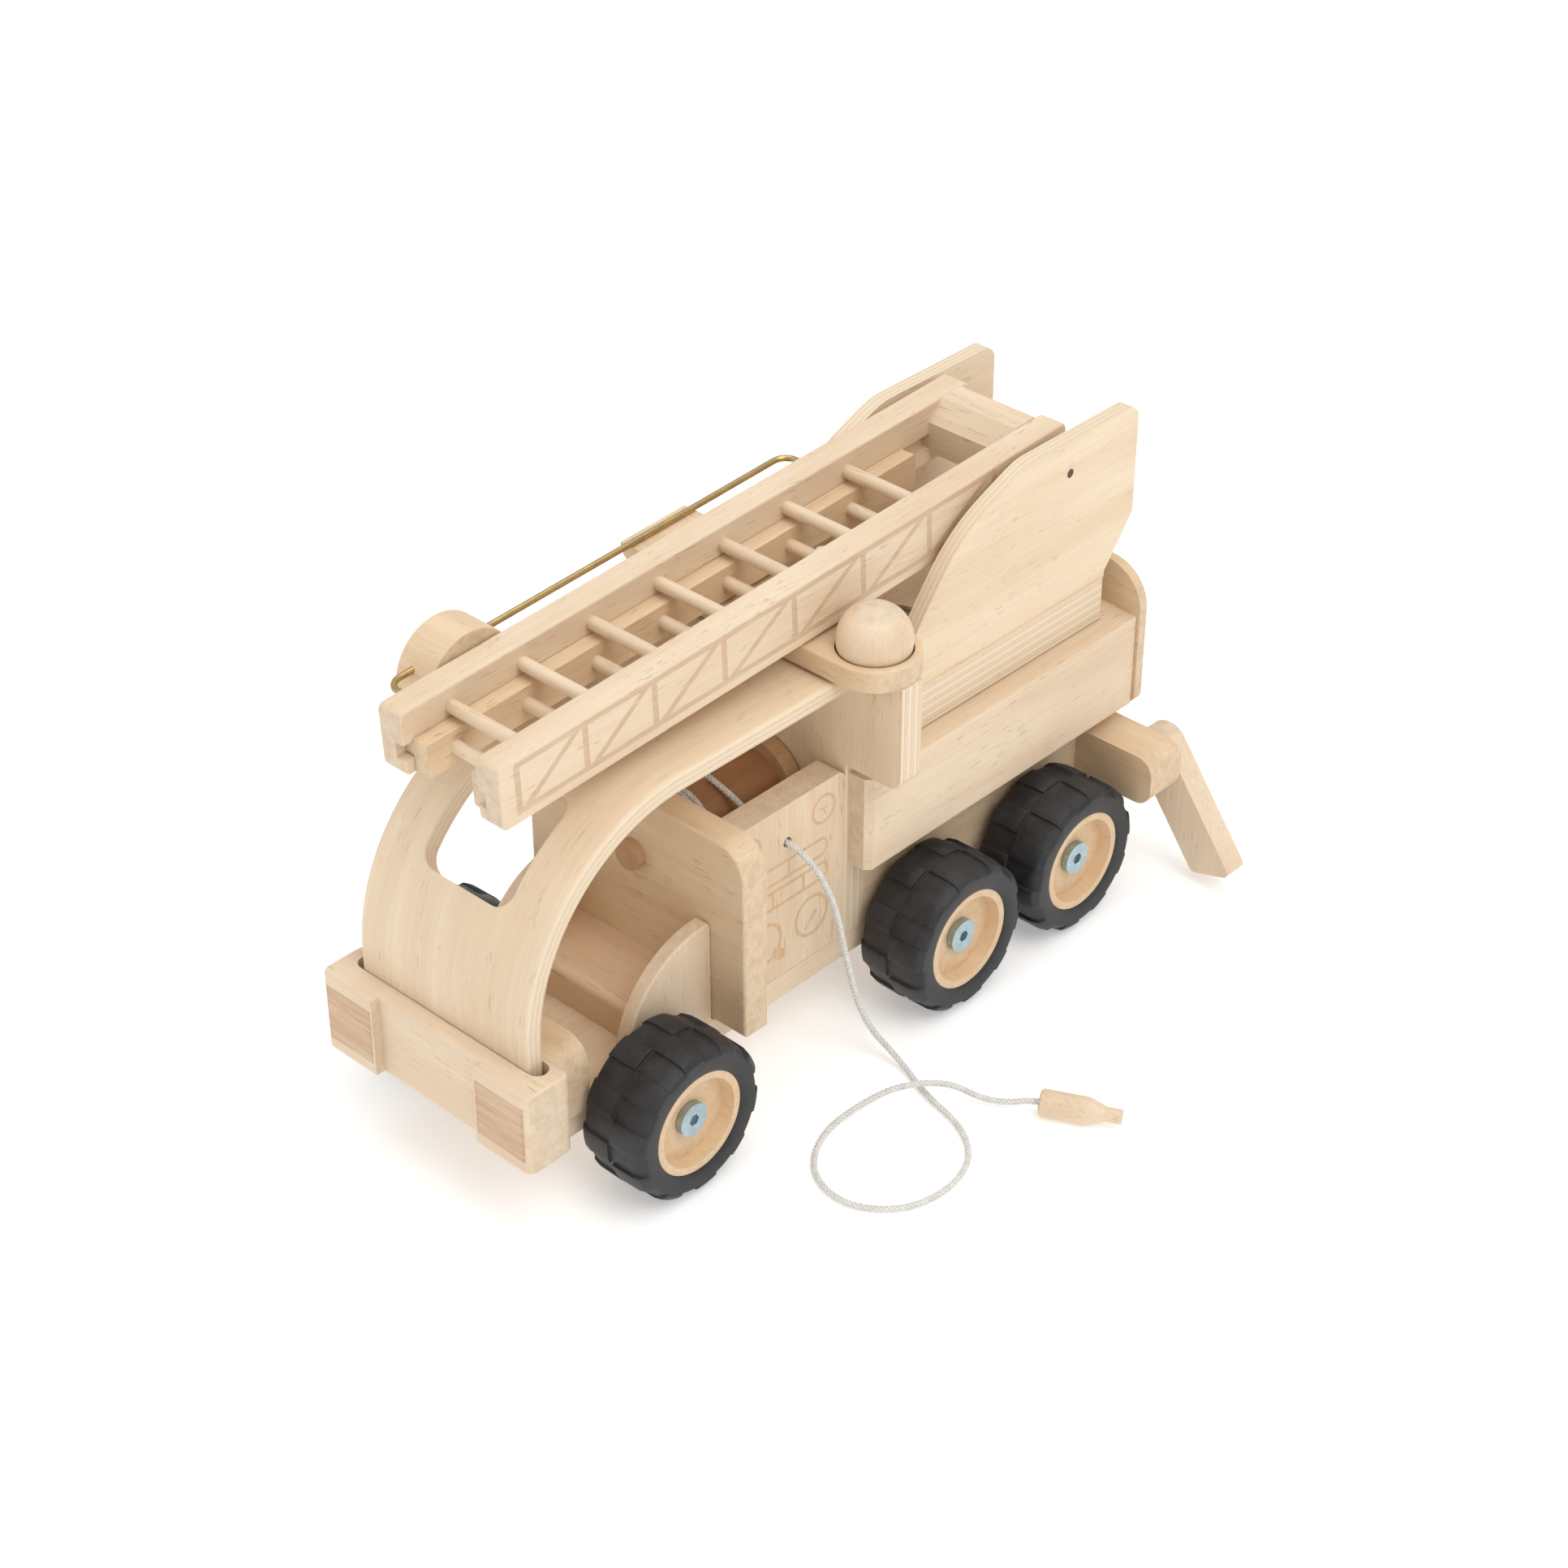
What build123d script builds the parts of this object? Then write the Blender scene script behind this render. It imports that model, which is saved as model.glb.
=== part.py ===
"""Wooden toy fire engine: chassis, bent-ply cab roof, hose reel, swivelling ladder turret, outriggers.

Frame: +Z up, ground at z = 0, front of the vehicle towards -Y, its left side towards +X.
The origin is on the ground under the middle of the vehicle. All sizes are in millimetres.
"""
import math
import os

from build123d import *

os.makedirs("parts", exist_ok=True)

# ---------------------------------------------------------------- clearances
running_gap = 0.05      # radial, pin or shaft in its bore
free_gap = 0.4          # between faces of pieces that move past each other
glue_gap = 0.02         # radial, pin glued in its bore

# ---------------------------------------------------------------- wheels
tyre_radius = 38.0
tyre_width = 37.0
tyre_inset = 4.0        # chassis side to tyre
hub_radius = 25.0
hub_lip = 3.5
hub_dish = 6.7
bolt_head_radius = 8.0
bolt_head_height = 3.2
bolt_radius = 3.0
bolt_depth = 22.0       # thread length inside the chassis
axle_y = {"front": -130.3, "middle": 46.6, "rear": 129.5}
axle_z = tyre_radius

# ---------------------------------------------------------------- chassis and body
half_width = 47.0       # chassis, frame boards and panels, flush sides
chassis_thickness = 13.5
chassis_top = axle_z + chassis_thickness / 2 - 0.75
body_rear = 196.9       # rear end of chassis, deck and side planks
bumper_rear = -182.2
bumper_depth = 25.7
bumper_half = 64.7
bumper_bottom = 43.4
bumper_top = 85.2
bumper_recess = 4.5
bumper_end_width = 33.0
beam_depth = 23.5       # front cross beam and outrigger beam, same stock
front_beam_top = bumper_top - 6.5
front_beam_half = half_width + tyre_inset - 1.5

wall_front = -81.0
wall_thickness = 14.0
wall_half = 66.5
wall_top = 142.0
wall_rear = wall_front + wall_thickness
seat_depth = 37.0
seat_height = 18.5
fender_thickness = 7.0
fender_radius = 50.0
fender_lift = 3.5

bulkhead_front = 4.5
bulkhead_thickness = 13.0
bulkhead_rear = bulkhead_front + bulkhead_thickness
bulkhead_mid = bulkhead_front + bulkhead_thickness / 2
bulkhead_half = 79.0
bulkhead_top = 190.0
panel_thickness = 14.0
panel_top = 135.0

plank_thickness = 12.5
plank_height = 49.0
plank_top = 132.0
plank_front = bulkhead_front + 2.5
deck_thickness = 12.0
deck_top = plank_top + 0.5
wing_bottom = plank_top + 5.0
frame_thickness = 12.0
rear_plate_thickness = 6.0
rear_plate_half = 61.0
rear_plate_top = 156.8
rear_plate_corner = 22.0

# ---------------------------------------------------------------- cab roof (bent plywood)
roof_half = 52.0
roof_thickness = 9.0
roof_radius = 93.0      # outer face
roof_top = bulkhead_top - 2.0
roof_bend_y = -101.8
roof_lean = 0.0         # degrees, windscreen's foot from the vertical
slot_depth = 19.0
window_width = 53.5
window_height = 54.0
window_angle = 50.0     # degrees, from level ahead up round the bend

# ---------------------------------------------------------------- light bar
bar_half = 78.5
bar_depth = 42.0
bar_thickness = 10.5
lamp_radius = 17.0
lamp_pocket_depth = 5.0
lamp_spigot_radius = 4.0
lamp_spigot_length = 4.0
bar_top = bulkhead_top + bar_thickness
lamp_x = bar_half - bar_depth / 2
bar_y = bulkhead_mid - 0.5

# ---------------------------------------------------------------- hose reel
reel_z = 112.0
reel_axle_radius = 7.2
reel_flange_radius = 22.0
reel_flange_thickness = 8.0
reel_drum_radius = 16.0
reel_nose = 4.5         # axle end proud of the cab wall
reel_tail = 7.0         # axle end inside the bulkhead
reel_front = wall_rear + 1.0
reel_rear = bulkhead_front - 0.8
hose_radius = 1.6
hose_turn_offsets = (4.0, 7.3)
hose_hole_radius = 2.5
hose_hole_y = -33.0
hose_hole_z = 115.0

# ---------------------------------------------------------------- turret
pivot_y = 92.0
turret_half = 48.0
turret_front = 36.0
turret_rear = 185.0
turret_thickness = 21.5
turret_bottom = deck_top + free_gap
turret_top = turret_bottom + turret_thickness
side_thickness = 7.5
side_outer = turret_half - 1.0
side_inner = side_outer - side_thickness
pivot_bolt_radius = 5.0
cheek_front = 44.0
cheek_rear = 204.2
cheek_top = 239.0

# ---------------------------------------------------------------- ladder (frame tilted up towards the rear)
ladder_slope = 2.55     # degrees
ladder_gap_half = 22.0
rail_thickness = 13.8
rail_height = 31.0
rail_above_rung = 9.2
ladder_front = -187.5
ladder_rear = 165.4
rung_radius = 3.2
rung_pitch = 40.12
rung_count = 7
first_rung_y = -160.5
first_rung_z = 216.85
groove_depth = 4.8
groove_height = 7.7
groove_lip = 8.0
ladder_pin_radius = 2.2
ladder_pin_y = 155.0
ladder_pin_z = 221.9
end_block_inset = 6.0   # rail ends behind the block
end_block_length = 22.8
end_block_top = 9.0
end_block_height = 24.8

slide_front = -182.4
slide_length = 300.0
slide_gap_half = 13.5
slide_height = 16.5
slide_top = -5.0        # below the main rungs' centre line
slide_rung_count = 7
slide_rung_pitch = 40.0
first_slide_rung = 15.7  # from the slide's front end
pull_cord_radius = 1.5
pull_cord_rung = 5
slide_travel = 130.0

wire_radius = 1.5
wire_x = -49.0
wire_front = -171.0
wire_rear = 68.0
wire_above_rung = 3.5
wire_bend = 7.0
float_radius = 24.0
float_y = -136.0
float_thickness = 21.0
float_above_flat = 8.0
float_below_wire = 11.0
rest_y = -10.2
rest_radius = 20.0
rest_thickness = 20.0

# ---------------------------------------------------------------- outriggers
outrigger_y = 171.0
outrigger_half = 93.0
outrigger_bottom = 50.0
outrigger_top = 76.0
leg_thickness = 13.0
leg_width = 22.5
leg_length = 67.2       # pivot to foot, along the leg
leg_angle = 36.5        # degrees, out from straight down
foot_angle = 19.8       # degrees out at which the foot stands level
leg_pivot_x = 75.4
leg_pivot_z = 63.0
leg_pin_radius = 4.0

# ---------------------------------------------------------------- hose on the floor
hose_route = [
    (1.0, -36.0, 130.4), (17.0, -35.2, 126.0), (30.0, -33.2, 115.4), (58.0, -32.4, 114.0),
    (65.5, -22.0, 86.0), (68.0, -16.5, 50.0), (74.0, -11.5, 17.0), (93.0, -7.0, 1.8),
    (117.0, -17.5, 1.8), (141.0, -22.0, 1.8), (160.0, -35.5, 1.8), (166.5, -59.0, 1.8),
    (159.5, -83.5, 1.8), (137.5, -97.5, 1.8), (113.0, -90.0, 1.8), (100.0, -66.5, 1.8),
    (101.5, -41.0, 3.6), (109.5, -25.5, 8.4), (123.5, -9.5, 8.4), (138.5, -3.5, 3.2),
    (149.5, 3.5, 3.2), (156.5, 7.4, 6.4), (163.5, 10.9, 6.4),
]
nozzle_radius = 6.3
nozzle_tip_radius = 3.4
nozzle_length = 37.0
nozzle_bore_depth = 3.4


def save(part, name):
    """Label a finished piece and write its file."""
    part.label = name
    export_step(part, f"parts/{name}.step")


def box_between(x_span, y_span, z_span):
    """A box in the open part builder, from its three spans."""
    middle = [(low + high) / 2 for low, high in (x_span, y_span, z_span)]
    size = [high - low for low, high in (x_span, y_span, z_span)]
    with Locations(tuple(middle)):
        return Box(*size)


def rod_along_x(x_from, x_to, y, z, radius, mode=Mode.ADD):
    """A round rod or hole along X in the open part builder."""
    with BuildSketch(Plane.YZ.offset(x_from)) as section:
        with Locations((y, z)):
            Circle(radius)
    extrude(section.sketch, amount=x_to - x_from, mode=mode)


# ================================================================ chassis, bumper, cab
def make_chassis():
    """The main plank; the wheel bolts screw into its edges."""
    with BuildPart() as chassis:
        box_between((-half_width, half_width), (bumper_rear, body_rear),
                    (chassis_top - chassis_thickness, chassis_top))
        chamfer(edges().filter_by(Axis.Y), 0.8)
        for y in axle_y.values():
            for side in (-1, 1):
                x_from = side * (half_width - bolt_depth) if side > 0 else -half_width
                rod_along_x(x_from, x_from + bolt_depth, y, axle_z, bolt_radius + glue_gap, Mode.SUBTRACT)
    return chassis.part


def roof_centre():
    """Centre of the roof bend in the side view."""
    return roof_bend_y, roof_top - roof_radius


def windscreen_middle(z):
    """Y of the windscreen's mid surface at a height on its straight part."""
    lean = math.radians(roof_lean)
    centre_y, centre_z = roof_centre()
    radius = roof_radius - roof_thickness / 2
    start_y = centre_y - radius * math.cos(lean)
    start_z = centre_z + radius * math.sin(lean)
    return start_y + (z - start_z) * math.tan(lean)


def make_bumper():
    """Front bumper with proud ends and a slot for the windscreen."""
    front = bumper_rear - bumper_depth
    lean = math.radians(roof_lean)
    with BuildPart() as bumper:
        box_between((-bumper_half, bumper_half), (front, bumper_rear), (bumper_bottom, bumper_top))
        inner = bumper_half - bumper_end_width
        with Locations((0, front + bumper_recess / 2, (bumper_bottom + bumper_top) / 2)):
            Box(2 * inner, bumper_recess, bumper_top - bumper_bottom, mode=Mode.SUBTRACT)
        uprights = edges().filter_by(Axis.Z)
        fillet(uprights.filter_by_position(Axis.X, bumper_half - 1, bumper_half + 1), 5.0)
        uprights = edges().filter_by(Axis.Z)
        fillet(uprights.filter_by_position(Axis.X, -bumper_half - 1, -bumper_half + 1), 5.0)
        fillet(edges().group_by(Axis.Z)[-1], 2.0)
        fillet(edges().group_by(Axis.Z)[0], 2.0)
        with BuildSketch(Plane.XY.offset(bumper_top)):
            with Locations((0, windscreen_middle(bumper_top))):
                SlotOverall(2 * roof_half + 11, roof_thickness / math.cos(lean) + 2 * free_gap)
        extrude(amount=slot_depth, dir=(0, -math.sin(lean), -math.cos(lean)), mode=Mode.SUBTRACT)
    return bumper.part


def make_front_beam():
    """Cross beam behind the bumper, rounded at its upper ends."""
    with BuildPart() as beam:
        box_between((-front_beam_half, front_beam_half), (bumper_rear, bumper_rear + beam_depth),
                    (chassis_top, front_beam_top))
        fillet(edges().filter_by(Axis.Y).group_by(Axis.Z)[-1], 12.0)
    return beam.part


def make_cab_roof():
    """Windscreen and roof, one bent sheet of plywood with a window."""
    lean = math.radians(roof_lean)
    centre_y, centre_z = roof_centre()
    foot_z = bumper_top - (slot_depth - 0.6) * math.cos(lean) + roof_thickness * math.sin(lean)
    rear = bulkhead_front
    inner_radius = roof_radius - roof_thickness

    def bend_start(radius):
        return centre_y - radius * math.cos(lean), centre_z + radius * math.sin(lean)

    length = (bend_start(roof_radius)[1] - foot_z) / math.cos(lean)

    def foot(radius):
        start_y, start_z = bend_start(radius)
        return start_y - length * math.sin(lean), start_z - length * math.cos(lean)

    with BuildPart() as roof:
        with BuildSketch(Plane.YZ):
            with BuildLine():
                Line(foot(roof_radius), bend_start(roof_radius))
                CenterArc((centre_y, centre_z), roof_radius, 180 - roof_lean, roof_lean - 90)
                Line((centre_y, centre_z + roof_radius), (rear, centre_z + roof_radius))
                Line((rear, centre_z + roof_radius), (rear, centre_z + inner_radius))
                Line((rear, centre_z + inner_radius), (centre_y, centre_z + inner_radius))
                CenterArc((centre_y, centre_z), inner_radius, 90, 90 - roof_lean)
                Line(bend_start(inner_radius), foot(inner_radius))
                Line(foot(inner_radius), foot(roof_radius))
            make_face()
        extrude(amount=roof_half, both=True)
        sides = faces().filter_by(Axis.X)
        fillet(sides.edges(), 2.2)
        middle = Plane(origin=(0, centre_y, centre_z), x_dir=(1, 0, 0),
                       z_dir=(0, -math.cos(math.radians(window_angle)), math.sin(math.radians(window_angle))))
        with BuildSketch(middle.offset(inner_radius - 20)):
            RectangleRounded(window_width, window_height, 9.0)
        extrude(amount=40, mode=Mode.SUBTRACT)
    return roof.part


def make_cab_wall():
    """Solid wall behind the cab; the reel's axle turns in it."""
    with BuildPart() as wall:
        box_between((-wall_half, wall_half), (wall_front, wall_rear), (chassis_top, wall_top))
        fillet(edges().filter_by(Axis.Y).group_by(Axis.Z)[-1], 16.0)
        fillet(faces().group_by(Axis.Y)[0].edges(), 1.5)
        with BuildSketch(Plane.XZ.offset(-wall_front)):
            with Locations((0, reel_z)):
                Circle(reel_axle_radius + running_gap)
        extrude(amount=-wall_thickness, mode=Mode.SUBTRACT)
    return wall.part


def make_seat():
    """Bench across the cab."""
    inner = half_width - fender_thickness - 0.5
    with BuildPart() as seat:
        box_between((-inner, inner), (wall_front - seat_depth, wall_front),
                    (chassis_top, chassis_top + seat_height))
        fillet(edges().filter_by(Axis.X).group_by(Axis.Z)[-1].sort_by(Axis.Y)[0], 4.0)
    return seat.part


def make_fender(side):
    """Quarter-round plate over a front wheel."""
    outer = side * (half_width - 0.5)
    inner = side * (half_width - 0.5 - fender_thickness)
    centre_y = wall_front - 3.0
    centre_z = chassis_top + fender_lift
    with BuildPart() as fender:
        with BuildSketch(Plane.YZ.offset(min(outer, inner))):
            with BuildLine():
                Line((wall_front, chassis_top), (wall_front, centre_z + fender_radius))
                Line((wall_front, centre_z + fender_radius), (centre_y, centre_z + fender_radius))
                CenterArc((centre_y, centre_z), fender_radius, 90, 90)
                Line((centre_y - fender_radius, centre_z), (centre_y - fender_radius, chassis_top))
                Line((centre_y - fender_radius, chassis_top), (wall_front, chassis_top))
            make_face()
            fillet(vertices().group_by(Axis.X)[-1].sort_by(Axis.Y)[-1], 2.9)
        extrude(amount=fender_thickness)
        fillet(faces().filter_by(Axis.X).sort_by(Axis.X)[-1 if side > 0 else 0].edges()
               .filter_by(GeomType.CIRCLE), 1.2)
    return fender.part


# ================================================================ reel bay, bulkhead, light bar
def make_panel(side):
    """Side panel of the reel bay; the left one has the hose hole."""
    outer = side * half_width
    inner = side * (half_width - panel_thickness)
    with BuildPart() as panel:
        box_between((min(outer, inner), max(outer, inner)), (wall_rear, bulkhead_front),
                    (chassis_top, panel_top))
        top = edges().filter_by(Axis.X).group_by(Axis.Z)[-1].sort_by(Axis.Y)[-1]
        fillet(top, 5.0)
        if side > 0:
            rod_along_x(inner, outer, hose_hole_y, hose_hole_z, hose_hole_radius, Mode.SUBTRACT)
    return panel.part


def make_bulkhead():
    """T-shaped plywood wall that carries the light bar."""
    with BuildPart() as bulkhead:
        box_between((-half_width, half_width), (bulkhead_front, bulkhead_rear), (chassis_top, wing_bottom + 1))
        box_between((-bulkhead_half, bulkhead_half), (bulkhead_front, bulkhead_rear),
                    (wing_bottom, bulkhead_top))
        corners = edges().filter_by(Axis.Y).filter_by_position(Axis.Z, wing_bottom - 1, wing_bottom + 1)
        fillet(corners.filter_by_position(Axis.X, bulkhead_half - 1, bulkhead_half + 1), 7.0)
        corners = edges().filter_by(Axis.Y).filter_by_position(Axis.Z, wing_bottom - 1, wing_bottom + 1)
        fillet(corners.filter_by_position(Axis.X, -bulkhead_half - 1, -bulkhead_half + 1), 7.0)
        with BuildSketch(Plane.XZ.offset(-bulkhead_front)):
            with Locations((0, reel_z)):
                Circle(reel_axle_radius + running_gap)
        extrude(amount=-(reel_tail + free_gap), mode=Mode.SUBTRACT)
    return bulkhead.part


def make_light_bar():
    """Round-ended bar on top of the bulkhead, with a pocket for the lamp at its left end."""
    with BuildPart() as bar:
        with BuildSketch(Plane.XY.offset(bulkhead_top)):
            with Locations((0, bar_y)):
                SlotOverall(2 * bar_half, bar_depth)
        extrude(amount=bar_thickness)
        fillet(faces().group_by(Axis.Z)[-1].edges(), 1.5)
        with BuildSketch(Plane.XY.offset(bar_top)):
            with Locations((lamp_x, bar_y)):
                Circle(lamp_radius + 0.4)
        extrude(amount=-lamp_pocket_depth, mode=Mode.SUBTRACT)
        with BuildSketch(Plane.XY.offset(bar_top - lamp_pocket_depth)):
            with Locations((lamp_x, bar_y)):
                Circle(lamp_spigot_radius + glue_gap)
        extrude(amount=-(lamp_spigot_length + free_gap), mode=Mode.SUBTRACT)
    return bar.part


def make_lamp():
    """Wooden ball with a flat seat and a spigot."""
    floor_z = bar_top - lamp_pocket_depth
    with BuildPart() as lamp:
        with Locations((lamp_x, bar_y, bar_top + 4.0)):
            Sphere(lamp_radius)
        split(bisect_by=Plane.XY.offset(floor_z), keep=Keep.TOP)
        with BuildSketch(Plane.XY.offset(floor_z)):
            with Locations((lamp_x, bar_y)):
                Circle(lamp_spigot_radius)
        extrude(amount=-lamp_spigot_length)
    return lamp.part


def reel_disc(y_from, y_to, radius, bore=0.0):
    """A turned disc or tube of the reel, along Y."""
    with BuildPart() as disc:
        with BuildSketch(Plane.XZ.offset(-y_from)):
            with Locations((0, reel_z)):
                Circle(radius)
                if bore:
                    Circle(bore, mode=Mode.SUBTRACT)
        extrude(amount=-(y_to - y_from))
    return disc.part


def make_hose_turns():
    """The turns of hose that stay on the drum."""
    with BuildPart() as turns:
        for offset_y in hose_turn_offsets:
            y = reel_front + reel_flange_thickness + offset_y
            with BuildSketch(Plane.YZ):
                with Locations((y, reel_z + reel_drum_radius + hose_radius)):
                    Circle(hose_radius)
            revolve(axis=Axis((0, 0, reel_z), (0, 1, 0)), revolution_arc=360)
    return turns.part


# ================================================================ rear body
def make_plank(side):
    """Thick plank along the rear body."""
    inner = side * half_width
    outer = side * (half_width + plank_thickness)
    with BuildPart() as plank:
        box_between((min(inner, outer), max(inner, outer)), (plank_front, body_rear),
                    (plank_top - plank_height, plank_top))
        side_face = faces().filter_by(Axis.X).sort_by(Axis.X)[-1 if side > 0 else 0]
        chamfer(side_face.edges().filter_by(Axis.Z).sort_by(Axis.Y)[0], 3.5)
        side_face = faces().filter_by(Axis.X).sort_by(Axis.X)[-1 if side > 0 else 0]
        fillet(side_face.edges(), 1.2)
    return plank.part


def make_frame_board(side):
    """Board between chassis and deck, notched for the outrigger beam."""
    outer = side * half_width
    inner = side * (half_width - frame_thickness)
    with BuildPart() as board:
        box_between((min(outer, inner), max(outer, inner)), (bulkhead_rear, body_rear),
                    (chassis_top, deck_top - deck_thickness))
        with Locations((side * (half_width - frame_thickness / 2), outrigger_y + beam_depth / 2,
                        (outrigger_bottom + outrigger_top) / 2)):
            Box(frame_thickness, beam_depth, outrigger_top - outrigger_bottom, mode=Mode.SUBTRACT)
    return board.part


def make_deck():
    """Deck that the turret turns on."""
    with BuildPart() as deck:
        box_between((-half_width, half_width), (bulkhead_rear, body_rear), (deck_top - deck_thickness, deck_top))
        with Locations((0, pivot_y, deck_top)):
            Hole(pivot_bolt_radius + glue_gap)
    return deck.part


def make_rear_plate():
    """Thin tail plate with well rounded upper corners."""
    with BuildPart() as plate:
        with BuildSketch(Plane.XZ.offset(-body_rear)):
            with Locations((0, (rear_plate_top + plank_top - plank_height) / 2)):
                Rectangle(2 * rear_plate_half, rear_plate_top - plank_top + plank_height)
            fillet(vertices().group_by(Axis.Y)[-1], rear_plate_corner)
            fillet(vertices().group_by(Axis.Y)[0], 5.0)
        extrude(amount=-rear_plate_thickness)
        fillet(faces().group_by(Axis.Y)[-1].edges(), 1.2)
    return plate.part


# ================================================================ turret
def make_turret_base():
    """Thick plywood block that turns on the deck."""
    with BuildPart() as base:
        box_between((-turret_half, turret_half), (turret_front, turret_rear), (turret_bottom, turret_top))
        fillet(edges().filter_by(Axis.Z), 3.0)
        with Locations((0, pivot_y, turret_top)):
            CounterBoreHole(pivot_bolt_radius + running_gap, 10.5, 5.0)
    return base.part


def make_pivot_bolt():
    """Bolt that holds the turret on the deck."""
    with BuildPart() as bolt:
        with BuildSketch(Plane.XY.offset(deck_top - deck_thickness)):
            with Locations((0, pivot_y)):
                Circle(pivot_bolt_radius)
        extrude(amount=turret_top - 5.0 + free_gap - deck_top + deck_thickness)
        with BuildSketch(Plane.XY.offset(turret_top - 5.0 + free_gap)):
            with Locations((0, pivot_y)):
                Circle(9.5)
        extrude(amount=3.0)
    return bolt.part


def make_turret_side(side):
    """Tall plywood cheek that carries the ladder pin."""
    x_from = side_inner if side > 0 else -side_outer
    base_z = turret_top
    with BuildPart() as cheek:
        with BuildSketch(Plane.YZ.offset(x_from)):
            with BuildLine():
                front = Line((cheek_front, base_z), (cheek_front, 172.0))
                brow = Spline(front @ 1, (58.6, 195.5), (74.5, 214.0), (91.0, 225.6), (109.0, 233.4),
                              (121.5, 237.9), (131.0, cheek_top), tangents=((0.35, 1), (1, 0)))
                Polyline(brow @ 1, (cheek_rear, cheek_top), (cheek_rear, 182.0), (turret_rear, 157.4),
                         (turret_rear, base_z), front @ 0)
            make_face()
            fillet(vertices().group_by(Axis.X)[-1], 8.0)
        extrude(amount=side_thickness)
        rod_along_x(x_from, x_from + side_thickness, ladder_pin_y, ladder_pin_z,
                    ladder_pin_radius + glue_gap, Mode.SUBTRACT)
    return cheek.part


# ================================================================ ladder
ladder_plane = Plane(
    origin=(0, first_rung_y, first_rung_z),
    x_dir=(0, math.cos(math.radians(ladder_slope)), math.sin(math.radians(ladder_slope))),
    z_dir=(1, 0, 0),
)
rail_start = ladder_front - first_rung_y
rail_end = ladder_rear - first_rung_y
block_rear = rail_end - end_block_inset


def in_ladder(y, z):
    """Side-view point as distance along the ladder and height over the rungs' line."""
    local = ladder_plane.to_local_coords(Vector(0, y, z))
    return local.X, local.Y


def ladder_slab(x_from, x_to, along, heights, mode=Mode.ADD):
    """A straight bar of the ladder, parallel to it."""
    with BuildSketch(ladder_plane.offset(min(x_from, x_to))) as section:
        with Locations(((along[0] + along[1]) / 2, (heights[0] + heights[1]) / 2)):
            Rectangle(along[1] - along[0], heights[1] - heights[0])
    extrude(section.sketch, amount=abs(x_to - x_from), mode=mode)


def ladder_rod(x_from, x_to, along, height, radius, mode=Mode.ADD):
    """A rod or hole across the ladder."""
    with BuildSketch(ladder_plane.offset(min(x_from, x_to))) as section:
        with Locations((along, height)):
            Circle(radius)
    extrude(section.sketch, amount=abs(x_to - x_from), mode=mode)


def make_ladder_rail(side):
    """Main rail with a groove for the sliding ladder."""
    inner = side * ladder_gap_half
    outer = side * (ladder_gap_half + rail_thickness)
    top = rail_above_rung
    bottom = top - rail_height
    pin_along, pin_height = in_ladder(ladder_pin_y, ladder_pin_z)
    with BuildPart() as rail:
        ladder_slab(inner, outer, (rail_start, rail_end), (bottom, top))
        ends = edges().filter_by(Axis.X)
        fillet(ends, 3.5)
        fillet(faces().filter_by(Axis.X).edges(), 1.2)
        groove = (bottom + groove_lip, bottom + groove_lip + groove_height)
        ladder_slab(inner, inner + side * groove_depth, (rail_start - 1, block_rear - end_block_length), groove,
                    Mode.SUBTRACT)
        for number in range(rung_count):
            ladder_rod(inner, inner + side * 9.0, number * rung_pitch, 0, rung_radius + glue_gap, Mode.SUBTRACT)
        ladder_rod(inner, outer, pin_along, pin_height, ladder_pin_radius + running_gap, Mode.SUBTRACT)
        if side < 0:
            for y in (wire_front, wire_rear):
                ladder_rod(outer, outer + 9.0, along_of(y), wire_above_rung, wire_radius + glue_gap,
                           Mode.SUBTRACT)
    return rail.part


def along_of(y):
    """Distance along the ladder of a point on the rungs' line, from its Y."""
    return (y - first_rung_y) / math.cos(math.radians(ladder_slope))


def make_ladder_rungs():
    """Dowels of the main ladder, one group."""
    reach = ladder_gap_half + 8.8
    with BuildPart() as rungs:
        for number in range(rung_count):
            ladder_rod(-reach, reach, number * rung_pitch, 0, rung_radius)
    return rungs.part


def make_end_block():
    """Block between the rails at the ladder's rear end, chamfered on top."""
    pin_along, pin_height = in_ladder(ladder_pin_y, ladder_pin_z)
    with BuildPart() as block:
        ladder_slab(-ladder_gap_half, ladder_gap_half, (block_rear - end_block_length, block_rear),
                    (end_block_top - end_block_height, end_block_top))
        chamfer(edges().filter_by(Axis.X).sort_by(Axis.Z)[-2], 9.0)
        ladder_rod(-ladder_gap_half, ladder_gap_half, pin_along, pin_height, ladder_pin_radius + running_gap,
                   Mode.SUBTRACT)
    return block.part


def make_ladder_pin():
    """Steel pin through both cheeks, the rails and the end block."""
    with BuildPart() as pin:
        rod_along_x(-side_outer, side_outer, ladder_pin_y, ladder_pin_z, ladder_pin_radius)
    return pin.part


def slide_span():
    """Start and end of the sliding ladder, along the ladder."""
    start = along_of(slide_front)
    return start, start + slide_length


def make_slide_rail(side):
    """Rail of the sliding ladder with a tongue in the main rail's groove."""
    start, end = slide_span()
    inner = side * slide_gap_half
    outer = side * (ladder_gap_half - free_gap)
    tongue = side * (ladder_gap_half + groove_depth - free_gap)
    groove_bottom = rail_above_rung - rail_height + groove_lip
    with BuildPart() as rail:
        ladder_slab(inner, outer, (start, end), (slide_top - slide_height, slide_top))
        ladder_slab(inner, tongue, (start, end),
                    (groove_bottom + free_gap, groove_bottom + groove_height - free_gap))
        fillet(edges().filter_by(Axis.X), 1.0)
        for number in range(slide_rung_count):
            along = start + first_slide_rung + number * slide_rung_pitch
            ladder_rod(inner, inner + side * 6.0, along, slide_top - slide_height / 2,
                       rung_radius + glue_gap, Mode.SUBTRACT)
    return rail.part


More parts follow.
